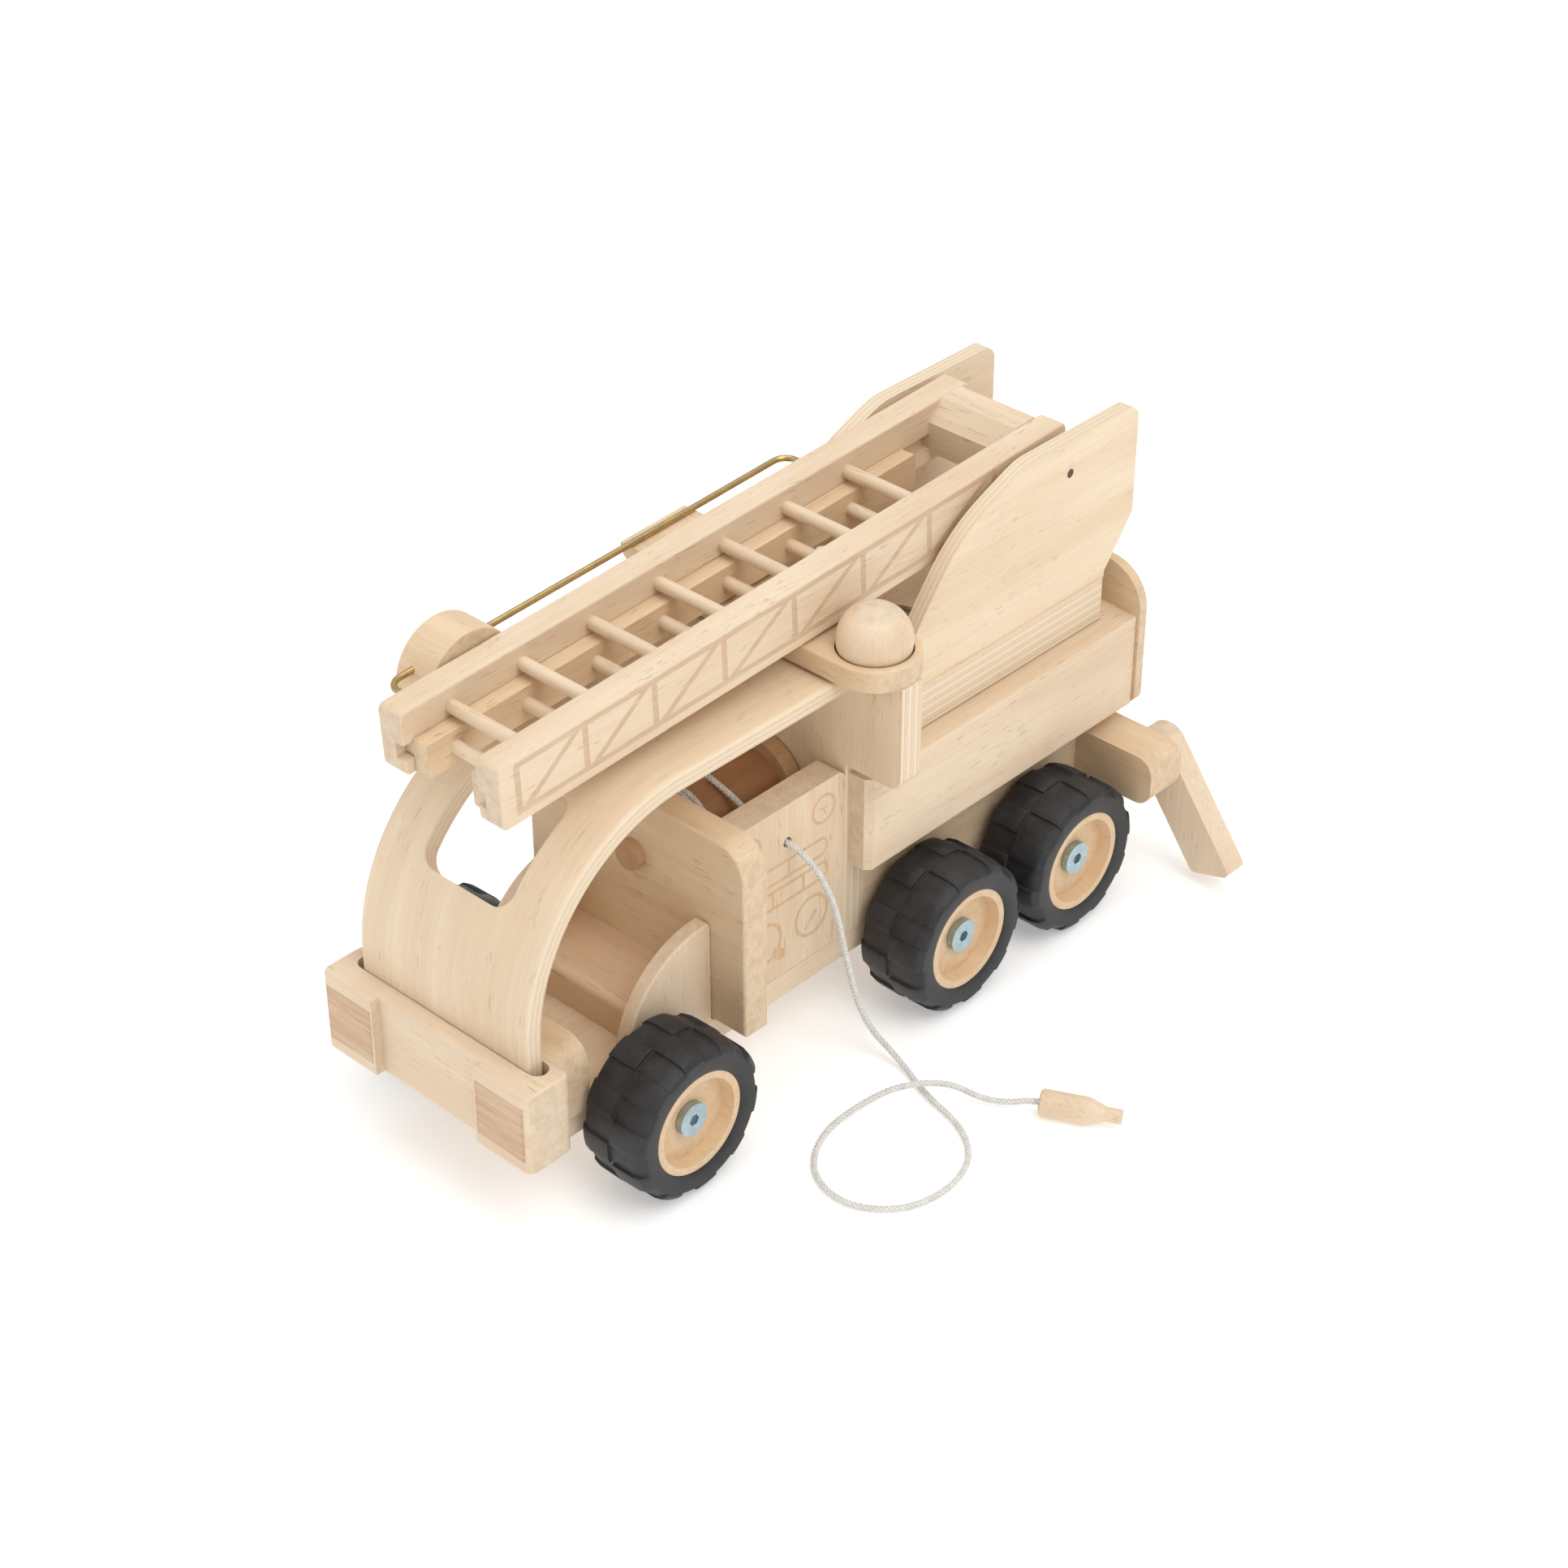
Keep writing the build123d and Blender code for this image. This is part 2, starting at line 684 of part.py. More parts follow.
def make_slide_rungs():
    """Dowels of the sliding ladder, one group."""
    start = slide_span()[0]
    reach = slide_gap_half + 5.8
    with BuildPart() as rungs:
        for number in range(slide_rung_count):
            along = start + first_slide_rung + number * slide_rung_pitch
            ladder_rod(-reach, reach, along, slide_top - slide_height / 2, rung_radius)
    return rungs.part


def make_pull_cord():
    """Taut cord under the slide's rungs, tied round one of them with a ring."""
    start = slide_span()[0]
    level = slide_top - slide_height / 2
    first = start + first_slide_rung
    tied = first + pull_cord_rung * slide_rung_pitch
    depth = level - rung_radius - pull_cord_radius - 0.9
    with BuildPart() as cord:
        with BuildSketch(Plane(origin=ladder_plane.from_local_coords(Vector(first, depth, 0)),
                               x_dir=(1, 0, 0), z_dir=ladder_plane.x_dir)):
            Circle(pull_cord_radius)
        extrude(amount=(slide_rung_count - 1) * slide_rung_pitch)
        spot = ladder_plane.from_local_coords(Vector(tied, level, 0))
        with BuildSketch(Plane(origin=spot, x_dir=(1, 0, 0), z_dir=ladder_plane.x_dir)):
            with Locations((0, rung_radius + pull_cord_radius)):
                Circle(pull_cord_radius)
        revolve(axis=Axis(spot, (1, 0, 0)), revolution_arc=360)
    return cord.part


def make_wire_rail():
    """Brass wire along the right rail, both ends bent into it."""
    outer = -(ladder_gap_half + rail_thickness)
    start = ladder_plane.from_local_coords(Vector(along_of(wire_front), wire_above_rung, 0))
    end = ladder_plane.from_local_coords(Vector(along_of(wire_rear), wire_above_rung, 0))
    corners = [(outer + 8.8, start.Y, start.Z), (wire_x, start.Y, start.Z),
               (wire_x, end.Y, end.Z), (outer + 8.8, end.Y, end.Z)]
    with BuildPart() as wire:
        with BuildLine() as path:
            FilletPolyline(*corners, radius=wire_bend)
        with BuildSketch(Plane(origin=path.line @ 0, z_dir=path.line % 0)):
            Circle(wire_radius)
        sweep()
    return wire.part


def make_float():
    """Half-round block that slides along the wire."""
    along = along_of(float_y)
    height = wire_above_rung - float_below_wire
    near = -(ladder_gap_half + rail_thickness + free_gap + 0.6)
    with BuildPart() as block:
        with BuildSketch(ladder_plane.offset(near - float_thickness)):
            with Locations((along, height)):
                Circle(float_radius)
            with Locations((along, height - float_above_flat - float_radius)):
                Rectangle(3 * float_radius, 2 * float_radius, mode=Mode.SUBTRACT)
        extrude(amount=float_thickness)
        fillet(edges().filter_by(GeomType.CIRCLE), 1.0)
        bore_start = ladder_plane.from_local_coords(Vector(along - 30, wire_above_rung, 0))
        with BuildSketch(Plane(origin=(wire_x, bore_start.Y, bore_start.Z), x_dir=(1, 0, 0),
                               z_dir=ladder_plane.x_dir)):
            Circle(wire_radius + running_gap)
        extrude(amount=60, mode=Mode.SUBTRACT)
    return block.part


def make_wire_rest():
    """Half-round block on the right rail, flat side up, that the wire lies on."""
    outer = -(ladder_gap_half + rail_thickness)
    along = along_of(rest_y)
    height = wire_above_rung - wire_radius
    with BuildPart() as block:
        with BuildSketch(ladder_plane.offset(outer - rest_thickness)):
            with Locations((along, height)):
                Circle(rest_radius)
            with Locations((along, height + rest_radius)):
                Rectangle(3 * rest_radius, 2 * rest_radius, mode=Mode.SUBTRACT)
        extrude(amount=rest_thickness)
        fillet(faces().filter_by(Axis.X).sort_by(Axis.X)[0].edges(), 1.0)
    return block.part


# ================================================================ outriggers
def make_outrigger_beam():
    """Beam across the rear that carries the two legs."""
    with BuildPart() as beam:
        box_between((-outrigger_half, outrigger_half), (outrigger_y, outrigger_y + beam_depth),
                    (outrigger_bottom, outrigger_top))
        fillet(edges().filter_by(Axis.Y), 9.0)
        for side in (-1, 1):
            with BuildSketch(Plane.XZ.offset(-(outrigger_y + beam_depth))):
                with Locations((side * leg_pivot_x, leg_pivot_z)):
                    Circle(leg_pin_radius + glue_gap)
            extrude(amount=12.0, mode=Mode.SUBTRACT)
    return beam.part


def make_leg(side):
    """Swing-out leg behind the beam; its foot is cut to stand level at foot_angle."""
    front = outrigger_y + beam_depth + free_gap
    turn = math.radians(leg_angle)
    plane = Plane(origin=(side * leg_pivot_x, front, leg_pivot_z),
                  x_dir=(side * math.sin(turn), 0, -math.cos(turn)), z_dir=(0, 1, 0))
    half = side * leg_width / 2
    slant = leg_width / 2 * math.tan(math.radians(foot_angle))
    with BuildPart() as leg:
        with BuildSketch(plane):
            with BuildLine():
                Polyline((0, -half), (leg_length + slant, -half), (leg_length - slant, half), (0, half), close=True)
            make_face()
            fillet(vertices().filter_by_position(Axis.X, 1, 2 * leg_length), 3.0)
            Circle(leg_width / 2)
            Circle(leg_pin_radius + running_gap, mode=Mode.SUBTRACT)
        extrude(amount=leg_thickness)
    return leg.part


def make_leg_pins():
    """Dowels that the legs turn on, one group."""
    with BuildPart() as pins:
        with BuildSketch(Plane.XZ.offset(-(outrigger_y + beam_depth - 11.5))):
            with Locations((leg_pivot_x, leg_pivot_z), (-leg_pivot_x, leg_pivot_z)):
                Circle(leg_pin_radius)
        extrude(amount=-(11.5 + free_gap + leg_thickness - 0.5))
    return pins.part


# ================================================================ wheels
def make_tyre(side, y):
    """Rubber tyre with rounded shoulders."""
    inner = half_width + tyre_inset
    with BuildPart() as tyre:
        with BuildSketch(Plane.XY):
            with BuildLine():
                Polyline((inner, hub_radius + 0.0), (inner, tyre_radius - 4), (inner + 5, tyre_radius),
                         (inner + tyre_width - 5, tyre_radius), (inner + tyre_width, tyre_radius - 4),
                         (inner + tyre_width, hub_radius + 0.0), close=True)
            make_face()
            fillet(vertices().group_by(Axis.Y)[-1], 5.0)
        revolve(axis=Axis.X)
    return tyre.part.moved(wheel_place(side, y))


def wheel_place(side, y):
    """From the wheel's own frame, along +X on the axis, to its place."""
    turn = 0 if side > 0 else 180
    return Location((0, y, axle_z), (0, 0, turn))


def make_hub(side, y):
    """Turned wooden hub, dished outside, with a bolt bore."""
    inner = half_width + tyre_inset
    outer = inner + tyre_width
    dish = outer - 1.5 - hub_dish
    with BuildPart() as hub:
        with BuildSketch(Plane.XY):
            with BuildLine():
                Polyline((inner + 1.5, bolt_radius + running_gap), (inner + 1.5, hub_radius - 0.02),
                         (outer - 1.5, hub_radius - 0.02), (outer - 1.5, hub_radius - hub_lip),
                         (dish, hub_radius - hub_lip - 0.8), (dish, bolt_radius + running_gap), close=True)
            make_face()
        revolve(axis=Axis.X)
    return hub.part.moved(wheel_place(side, y))


def make_wheel_bolts():
    """Six bolts with washers' seats and hexagon sockets, one group."""
    dish = half_width + tyre_inset + tyre_width - 1.5 - hub_dish
    seat = dish + free_gap
    with BuildPart() as bolts:
        for y in axle_y.values():
            for side in (-1, 1):
                rod_along_x(side * (half_width - bolt_depth), side * seat, y, axle_z, bolt_radius)
                rod_along_x(side * seat, side * (seat + bolt_head_height), y, axle_z, bolt_head_radius)
                with BuildSketch(Plane.YZ.offset(side * (seat + bolt_head_height))):
                    with Locations((y, axle_z)):
                        RegularPolygon(2.9, 6)
                extrude(amount=-side * 2.0, mode=Mode.SUBTRACT)
    return bolts.part


def make_spacers():
    """Washers between chassis and hubs, one group."""
    with BuildPart() as spacers:
        for y in axle_y.values():
            for side in (-1, 1):
                length = tyre_inset + 1.5 - free_gap
                with BuildSketch(Plane.YZ.offset(side * half_width)):
                    with Locations((y, axle_z)):
                        Circle(7.0)
                        Circle(bolt_radius + glue_gap, mode=Mode.SUBTRACT)
                extrude(amount=side * length)
    return spacers.part


# ================================================================ hose
def hose_radii():
    """Bend radius at each inner point of the hose, as large as its two runs allow."""
    points = [Vector(*point) for point in hose_route]
    radii = []
    for before, here, after in zip(points, points[1:], points[2:]):
        run_in = here - before
        run_out = after - here
        half_turn = math.radians(run_in.get_angle(run_out)) / 2
        radii.append(0.45 * min(run_in.length, run_out.length) / math.tan(half_turn))
    return radii


def make_hose():
    """The free end of the hose, from the reel through the panel to the nozzle."""
    with BuildPart() as hose:
        with BuildLine() as path:
            FilletPolyline(*hose_route, radius=hose_radii())
        with BuildSketch(Plane(origin=path.line @ 0, z_dir=path.line % 0)):
            Circle(hose_radius)
        sweep()
    length = sum(edge.length for edge in path.line.edges())
    ratio = hose.part.volume / (math.pi * hose_radius ** 2 * length)
    print("hose length", round(length, 1), "volume ratio", round(ratio, 4))
    return hose.part


def make_nozzle():
    """Turned wooden nozzle on the hose's end."""
    end = Vector(*hose_route[-1])
    heading = (end - Vector(*hose_route[-2])).normalized()
    origin = end - heading * (nozzle_bore_depth - 0.4)
    bore = hose_radius + free_gap
    with BuildPart() as nozzle:
        with BuildSketch(Plane(origin=origin, x_dir=heading, z_dir=(-heading.Y, heading.X, 0))):
            with BuildLine():
                Polyline((nozzle_bore_depth, 0), (nozzle_bore_depth, bore), (0, bore), (0, nozzle_radius - 1),
                         (1, nozzle_radius), (22, nozzle_radius), (30, nozzle_tip_radius),
                         (nozzle_length, nozzle_tip_radius), (nozzle_length, 0), close=True)
            make_face()
        revolve(axis=Axis(origin, heading))
    return nozzle.part


# ================================================================ build everything
print("hose radii", [round(radius, 1) for radius in hose_radii()])

save(make_chassis(), "chassis")
save(make_bumper(), "bumper")
save(make_front_beam(), "front_beam")
save(make_cab_roof(), "cab_roof")
save(make_cab_wall(), "cab_wall")
save(make_seat(), "seat")
save(make_bulkhead(), "bulkhead")
save(make_light_bar(), "light_bar")
save(make_lamp(), "lamp")
for side_name, side_sign in (("left", 1), ("right", -1)):
    save(make_fender(side_sign), f"fender_{side_name}")
    save(make_panel(side_sign), f"panel_{side_name}")
    save(make_plank(side_sign), f"plank_{side_name}")
    save(make_frame_board(side_sign), f"frame_board_{side_name}")
    save(make_turret_side(side_sign), f"turret_side_{side_name}")
    save(make_ladder_rail(side_sign), f"ladder_rail_{side_name}")
    save(make_slide_rail(side_sign), f"slide_rail_{side_name}")
    save(make_leg(side_sign), f"outrigger_leg_{side_name}")
    for axle_name, wheel_y in axle_y.items():
        save(make_tyre(side_sign, wheel_y), f"tyre_{axle_name}_{side_name}")
        save(make_hub(side_sign, wheel_y), f"hub_{axle_name}_{side_name}")

drum_front = reel_front + reel_flange_thickness
drum_rear = reel_rear - reel_flange_thickness
axle_front = wall_front - reel_nose
axle_rear = bulkhead_front + reel_tail
save(reel_disc(axle_front, axle_rear, reel_axle_radius), "reel_axle")
save(reel_disc(reel_front, drum_front, reel_flange_radius, reel_axle_radius), "reel_flange_front")
save(reel_disc(drum_rear, reel_rear, reel_flange_radius, reel_axle_radius), "reel_flange_rear")
save(reel_disc(drum_front, drum_rear, reel_drum_radius, reel_axle_radius), "reel_drum")
save(make_hose_turns(), "hose_turns")
save(make_deck(), "deck")
save(make_rear_plate(), "rear_plate")
save(make_turret_base(), "turret_base")
save(make_pivot_bolt(), "pivot_bolt")
save(make_ladder_rungs(), "ladder_rungs")
save(make_end_block(), "ladder_end_block")
save(make_ladder_pin(), "ladder_pin")
save(make_slide_rungs(), "slide_rungs")
save(make_pull_cord(), "pull_cord")
save(make_wire_rail(), "wire_rail")
save(make_float(), "wire_block")
save(make_wire_rest(), "wire_rest")
save(make_outrigger_beam(), "outrigger_beam")
save(make_leg_pins(), "leg_pins")
save(make_wheel_bolts(), "wheel_bolts")
save(make_spacers(), "wheel_spacers")
save(make_hose(), "hose")
save(make_nozzle(), "hose_nozzle")
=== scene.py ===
import math

import bpy
from mathutils import Matrix, Vector


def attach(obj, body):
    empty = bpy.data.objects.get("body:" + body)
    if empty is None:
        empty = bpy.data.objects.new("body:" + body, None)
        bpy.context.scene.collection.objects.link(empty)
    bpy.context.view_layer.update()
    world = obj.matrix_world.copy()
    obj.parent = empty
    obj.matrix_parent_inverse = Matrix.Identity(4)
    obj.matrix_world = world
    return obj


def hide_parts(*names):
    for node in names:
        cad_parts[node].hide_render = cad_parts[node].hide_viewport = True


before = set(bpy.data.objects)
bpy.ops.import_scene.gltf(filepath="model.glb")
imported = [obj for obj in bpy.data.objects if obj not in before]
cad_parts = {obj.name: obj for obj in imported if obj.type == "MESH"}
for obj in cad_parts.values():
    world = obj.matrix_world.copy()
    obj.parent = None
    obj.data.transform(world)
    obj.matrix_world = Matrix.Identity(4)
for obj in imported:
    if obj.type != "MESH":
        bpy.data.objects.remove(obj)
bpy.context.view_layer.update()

MM = 0.001

# sizes shared with the model, in metres
tyre_radius = 38.0 * MM
tyre_width = 37.0 * MM
tread_height = 1.5 * MM
hub_radius = 25.0 * MM
wheel_x = 69.5 * MM
axle_z = 38.0 * MM
axles = {"front": -130.3 * MM, "middle": 46.6 * MM, "rear": 129.5 * MM}
cord_radius = 1.6 * MM
ladder_slope = math.radians(2.55)
ladder_foot = Vector((0, -160.5 * MM, 216.85 * MM))
reel_height = 112.0 * MM
reel_turn_radius = 17.6 * MM
reel_turn_places = (-54.0, -50.7)
roof_bend_y = -101.8 * MM
roof_bend_z = 95.0 * MM
roof_inner_radius = 84.0 * MM
roof_thickness = 9.0 * MM
cheek_inner = 39.5 * MM
cheek_thickness = 7.5 * MM
turret_base_bottom = 132.9 * MM
turret_base_thickness = 21.5 * MM
bulkhead_front = 4.5 * MM
bulkhead_thickness = 13.0 * MM
lamp_field_middle = 47.0 * MM

# camera and braid
camera_azimuth = math.radians(43.01)
camera_height = math.radians(34.65)
camera_target = Vector((-0.0226, 0.0394, 0.0765))
camera_distance = 1.5437
camera_lens = 75.6
braid_step = 0.75 * MM
pull_cord_radius = 1.5 * MM


# ---------------------------------------------------------------- camera
def add_camera():
    data = bpy.data.cameras.new("camera")
    camera = bpy.data.objects.new("camera", data)
    bpy.context.scene.collection.objects.link(camera)
    back = Vector((math.sin(camera_azimuth) * math.cos(camera_height),
                   -math.cos(camera_azimuth) * math.cos(camera_height),
                   math.sin(camera_height)))
    camera.location = camera_target + back * camera_distance
    camera.rotation_euler = back.to_track_quat("Z", "Y").to_euler()
    data.sensor_width = 36.0
    data.lens = camera_lens
    data.clip_end = 20.0
    bpy.context.scene.camera = camera


add_camera()


# ---------------------------------------------------------------- shader maths
class Value:
    """A number that varies over a surface."""

    def __init__(self, finish, socket):
        self.finish = finish
        self.socket = socket

    def maths(self, operation, *others):
        sources = [self.socket]
        sources += [other.socket if isinstance(other, Value) else other for other in others]
        node = self.finish.node("ShaderNodeMath", {"operation": operation}, dict(enumerate(sources)))
        return Value(self.finish, node.outputs[0])

    def flipped(self, operation, other):
        node = self.finish.node("ShaderNodeMath", {"operation": operation}, {0: other, 1: self.socket})
        return Value(self.finish, node.outputs[0])

    def __add__(self, other):
        return self.maths("ADD", other)

    __radd__ = __add__

    def __sub__(self, other):
        return self.maths("SUBTRACT", other)

    def __rsub__(self, other):
        return self.flipped("SUBTRACT", other)

    def __mul__(self, other):
        return self.maths("MULTIPLY", other)

    __rmul__ = __mul__

    def __truediv__(self, other):
        return self.maths("DIVIDE", other)

    def __abs__(self):
        return self.maths("ABSOLUTE")

    def root(self):
        return self.maths("SQRT")

    def least(self, other):
        return self.maths("MINIMUM", other)

    def most(self, other):
        return self.maths("MAXIMUM", other)

    def fraction(self):
        return self.maths("FRACT")

    def ramp(self, low, high):
        """0 below low, 1 above high, smooth between; low may be above high."""
        node = self.finish.node(
            "ShaderNodeMapRange", {"interpolation_type": "SMOOTHSTEP"},
            {"Value": self.socket, "From Min": low, "From Max": high})
        return Value(self.finish, node.outputs[0])


class Finish:
    """A material that is put together from nodes."""

    def __init__(self, name):
        self.material = bpy.data.materials.new(name)
        self.material.use_nodes = True
        self.tree = self.material.node_tree
        self.shader = self.tree.nodes["Principled BSDF"]
        self.place = self.node("ShaderNodeTexCoord").outputs["Object"]
        split = self.node("ShaderNodeSeparateXYZ", {}, {0: self.place})
        self.x, self.y, self.z = (Value(self, socket) for socket in split.outputs)
        facing = self.node("ShaderNodeTexCoord").outputs["Normal"]
        split = self.node("ShaderNodeSeparateXYZ", {}, {0: facing})
        self.facing = [Value(self, socket) for socket in split.outputs]

    def node(self, kind, settings=None, inputs=None):
        node = self.tree.nodes.new(kind)
        for key, value in (settings or {}).items():
            setattr(node, key, value)
        for key, value in (inputs or {}).items():
            if isinstance(value, Value):
                value = value.socket
            if isinstance(value, bpy.types.NodeSocket):
                self.tree.links.new(value, node.inputs[key])
            else:
                node.inputs[key].default_value = value
        return node

    def noise(self, scale, detail=2.0, roughness=0.5, shift=(0, 0, 0), distortion=0.0):
        """Noise whose three scales are features per metre along X, Y and Z."""
        mapping = self.node("ShaderNodeMapping", {},
                            {"Vector": self.place, "Scale": scale, "Location": shift})
        node = self.node("ShaderNodeTexNoise", {"noise_dimensions": "3D"},
                         {"Vector": mapping.outputs[0], "Scale": 1.0, "Detail": detail,
                          "Roughness": roughness, "Distortion": distortion})
        return Value(self, node.outputs[0])

    def blend(self, amount, first, second):
        """Mix two colours."""
        node = self.node("ShaderNodeMix", {"data_type": "RGBA"},
                         {0: amount, 6: colour(first), 7: colour(second)})
        return node.outputs[2]

    def set(self, **values):
        for name, value in values.items():
            socket = self.shader.inputs[name.replace("_", " ")]
            if isinstance(value, Value):
                value = value.socket
            if isinstance(value, bpy.types.NodeSocket):
                self.tree.links.new(value, socket)
            else:
                socket.default_value = value
        return self

    def bump(self, height, depth):
        node = self.node("ShaderNodeBump", {}, {"Height": height, "Distance": depth, "Strength": 1.0})
        self.set(Normal=node.outputs[0])

    def stroke(self, across, up, start, end, width):
        """1 on a line between two points of a plane, 0 off it; sizes in metres."""
        run = (end[0] - start[0], end[1] - start[1])
        square = run[0] ** 2 + run[1] ** 2
        side = across - start[0]
        rise = up - start[1]
        along = ((side * run[0] + rise * run[1]) / square).most(0.0).least(1.0)
        off_side = side - along * run[0]
        off_rise = rise - along * run[1]
        distance = (off_side * off_side + off_rise * off_rise).root()
        return distance.ramp(width / 2 + 0.12 * MM, width / 2 - 0.12 * MM)

    def ring(self, across, up, centre, radius, width):
        """1 on a circle's line."""
        side = across - centre[0]
        rise = up - centre[1]
        distance = abs((side * side + rise * rise).root() - radius)
        return distance.ramp(width / 2 + 0.12 * MM, width / 2 - 0.12 * MM)


def colour(value):
    """A colour or a link to one."""
    if isinstance(value, (Value, bpy.types.NodeSocket)):
        return value
    return (*value, 1.0)


# ---------------------------------------------------------------- finishes
pale = (0.79, 0.650, 0.480)
warm = (0.67, 0.490, 0.325)
pore_brown = (0.44, 0.28, 0.155)
burnt = (0.50, 0.315, 0.180)


def stretched(along, fine, coarse):
    """Noise scales, coarse along the grain and fine across it."""
    return tuple(coarse if axis in along else fine for axis in "XYZ")


def wood_colour(finish, along, light=pale, dark=warm, shift=(0, 0, 0), pores=1.0, ends=1.0):
    """Rubberwood: soft bands, fine fibres, short dark pores, darker speckled end grain."""
    band = finish.noise(stretched(along, 42, 5), 3, 0.55, shift, 0.4).ramp(0.30, 0.74)
    fibre = finish.noise(stretched(along, 620, 22), 2, 0.6, shift).ramp(0.28, 0.75)
    flecks = finish.noise(stretched(along, 1250, 105), 1, 0.5, shift).ramp(0.635, 0.72)
    sparse = finish.noise(stretched(along, 120, 30), 1, 0.5, shift).ramp(0.42, 0.62)
    mottle = finish.noise((17, 17, 17), 3, 0.6, shift).ramp(0.3, 0.7)
    tone = finish.blend((band * 0.62 + fibre * 0.30 + mottle * 0.12).least(1.0), light, dark)
    end_grain = abs(finish.facing["XYZ".index(along[0])]).ramp(0.72, 0.90) * ends
    dots = finish.noise((900, 900, 900), 1, 0.5, shift).ramp(0.62, 0.69)
    rings = finish.noise(stretched(along, 210, 12), 2, 0.6, shift).ramp(0.35, 0.7)
    end_tone = finish.blend(rings * 0.5 + 0.1, tuple(0.90 * c for c in light), tuple(0.86 * c for c in dark))
    tone = finish.blend(end_grain, tone, end_tone)
    dark_spots = (flecks * sparse * (1 - end_grain) * 0.58 + dots * end_grain * 0.22) * pores
    finish.grain_height = 1 - dark_spots
    return finish.blend(dark_spots, tone, pore_brown)


def make_wood(name, along, shift=(0, 0, 0), light=pale, dark=warm, pores=1.0, ends=1.0):
    finish = Finish(name)
    finish.set(Base_Color=wood_colour(finish, along, light, dark, shift, pores, ends), Roughness=0.55)
    finish.bump(finish.grain_height, 0.00012)
    return finish.material


def make_plywood(name, along, depth, edge_mask, layers, shift=(0, 0, 0)):
    """Pale veneer on the faces; stripes of the layers on the edges.
    depth and edge_mask are functions of the finish: 0 to 1 through the sheet, and 1 on its edges."""
    finish = Finish(name)
    face = wood_colour(finish, along, (0.83, 0.685, 0.50), (0.71, 0.535, 0.355), shift, 0.8, 0.0)
    wave = finish.noise((35, 35, 35), 2, 0.5, shift) * 0.10
    layer = ((depth(finish) + wave * 0.16) * layers).fraction()
    cross = layer.ramp(0.44, 0.50) * layer.ramp(1.0, 0.94)
    glue = (abs(layer - 0.47).ramp(0.10, 0.02) + abs(layer - 0.97).ramp(0.07, 0.01)).least(1.0)
    speckle = finish.noise((700, 700, 700), 1, 0.5, shift).ramp(0.55, 0.72)
    edge = finish.blend((cross * (0.45 + speckle * 0.4)).least(1.0), (0.79, 0.66, 0.49), (0.66, 0.50, 0.335))
    edge = finish.blend(glue * 0.34, edge, (0.42, 0.28, 0.17))
    finish.set(Base_Color=finish.blend(edge_mask(finish), face, edge), Roughness=0.56)
    finish.bump(finish.grain_height, 0.0001)
    return finish.material


def roof_depth(finish):
    """Distance from the bend's centre, carried on along the straight stretches."""
    ahead = (finish.y - roof_bend_y).least(0.0)
    rise = (finish.z - roof_bend_z).most(0.0)
    return ((ahead * ahead + rise * rise).root() - roof_inner_radius) / roof_thickness


def engraved_rail():
    """Rail with a burnt truss pattern on its outer face."""
    finish = Finish("engraved_rail")
    wood = wood_colour(finish, "Y", shift=(3.1, 0.4, 1.7))
    ahead = finish.y - ladder_foot.y
    rise = finish.z - ladder_foot.z
    along = ahead * math.cos(ladder_slope) + rise * math.sin(ladder_slope)
    height = rise * math.cos(ladder_slope) - ahead * math.sin(ladder_slope)
    posts = [value * MM for value in (-17.2, 20.5, 60.0, 101.0, 144.0, 187.5, 231.0, 275.0)]
    top = 6.2 * MM
    bottom = -15.9 * MM
    lines = finish.stroke(along, height, (posts[0], top), (posts[-1], top), 2.6 * MM)
    lines = lines.most(finish.stroke(along, height, (posts[0], bottom), (posts[-1], bottom), 2.6 * MM))
    for post in posts:
        lines = lines.most(finish.stroke(along, height, (post, bottom), (post, top), 3.2 * MM))
    for left, right in zip(posts, posts[1:]):
        lines = lines.most(finish.stroke(along, height, (left + 3 * MM, bottom), (right - 3 * MM, top),
                                         2.7 * MM))
    outer = finish.facing[0].ramp(0.7, 0.95)
    streak = finish.noise((300, 30, 420), 2, 0.6).ramp(0.25, 0.75)
    lines = lines * outer * (0.42 + streak * 0.26)
    finish.set(Base_Color=finish.blend(lines, wood, burnt), Roughness=0.56)
    finish.bump(finish.grain_height - lines * 0.9, 0.00015)
    return finish.material


